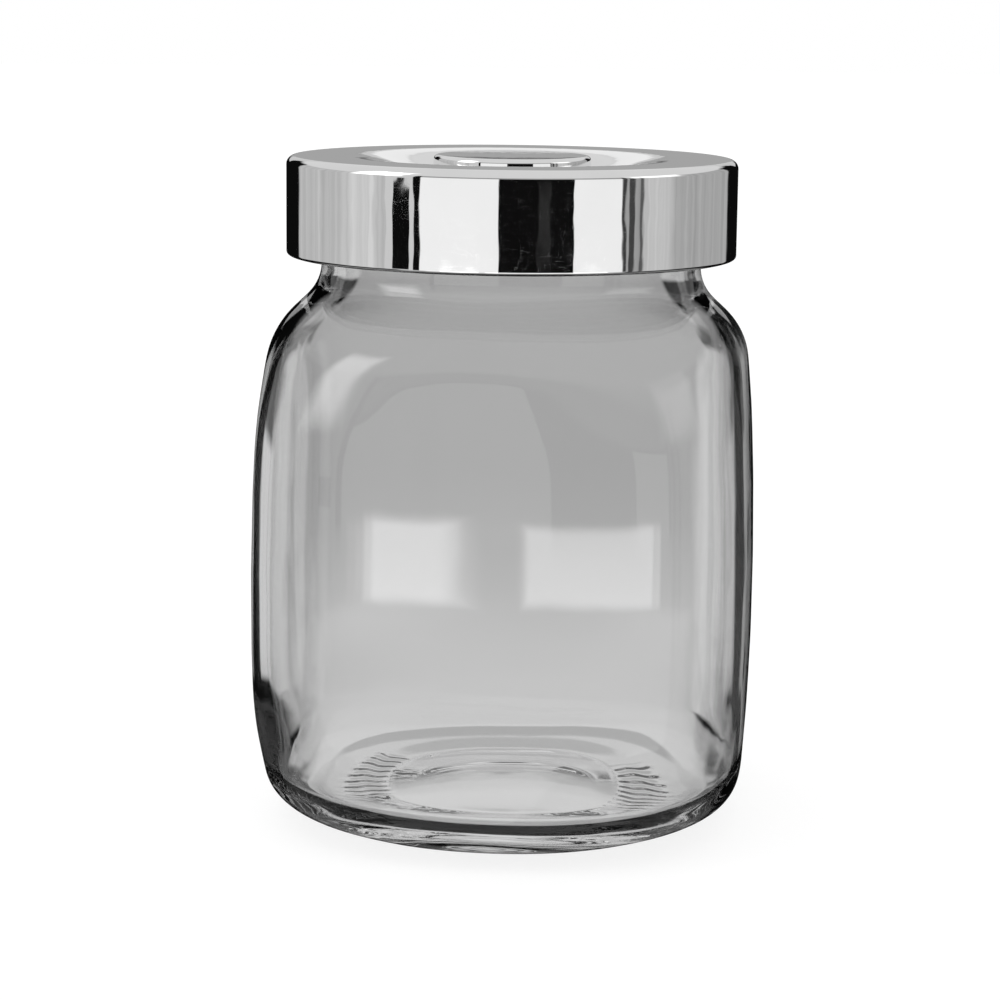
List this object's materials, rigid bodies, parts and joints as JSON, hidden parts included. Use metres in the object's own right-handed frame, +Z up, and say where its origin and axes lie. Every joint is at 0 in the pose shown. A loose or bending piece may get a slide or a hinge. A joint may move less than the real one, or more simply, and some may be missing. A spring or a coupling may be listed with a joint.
{
  "type": "lidded glass canister",
  "caption": "Rounded-square clear glass storage jar with a round neck and a bright push-on lid that lifts off by a disc knob in a finger dish.",
  "frame": {"origin": "centre of the face that the jar stands on", "axes": "+Z up along the jar's axis, the way the lid lifts; X and Y square to the four bulged sides"},
  "size_m": [0.1082, 0.1082, 0.1461],
  "materials": {
    "glass": "clear, fire-polished",
    "plating": "mirror-bright plating",
    "white_plastic": "smooth moulded, slightly satin",
    "silicone": "translucent, soft matt",
    "screw_steel": "zinc-bright"
  },
  "bodies": {
    "jar": {"glass_jar": "glass"},
    "lid": {"lid_shell": "plating", "knob": "plating", "liner": "white_plastic", "seal_ring": "silicone", "knob_gasket": "silicone", "knob_screw": "screw_steel", "screw_washer": "silicone"}
  },
  "joints": [
    {"name": "lid_lift", "type": "slide", "parent": "jar", "child": "lid", "axis": [0, 0, 1], "range_m": [0, 0.1]}
  ]
}
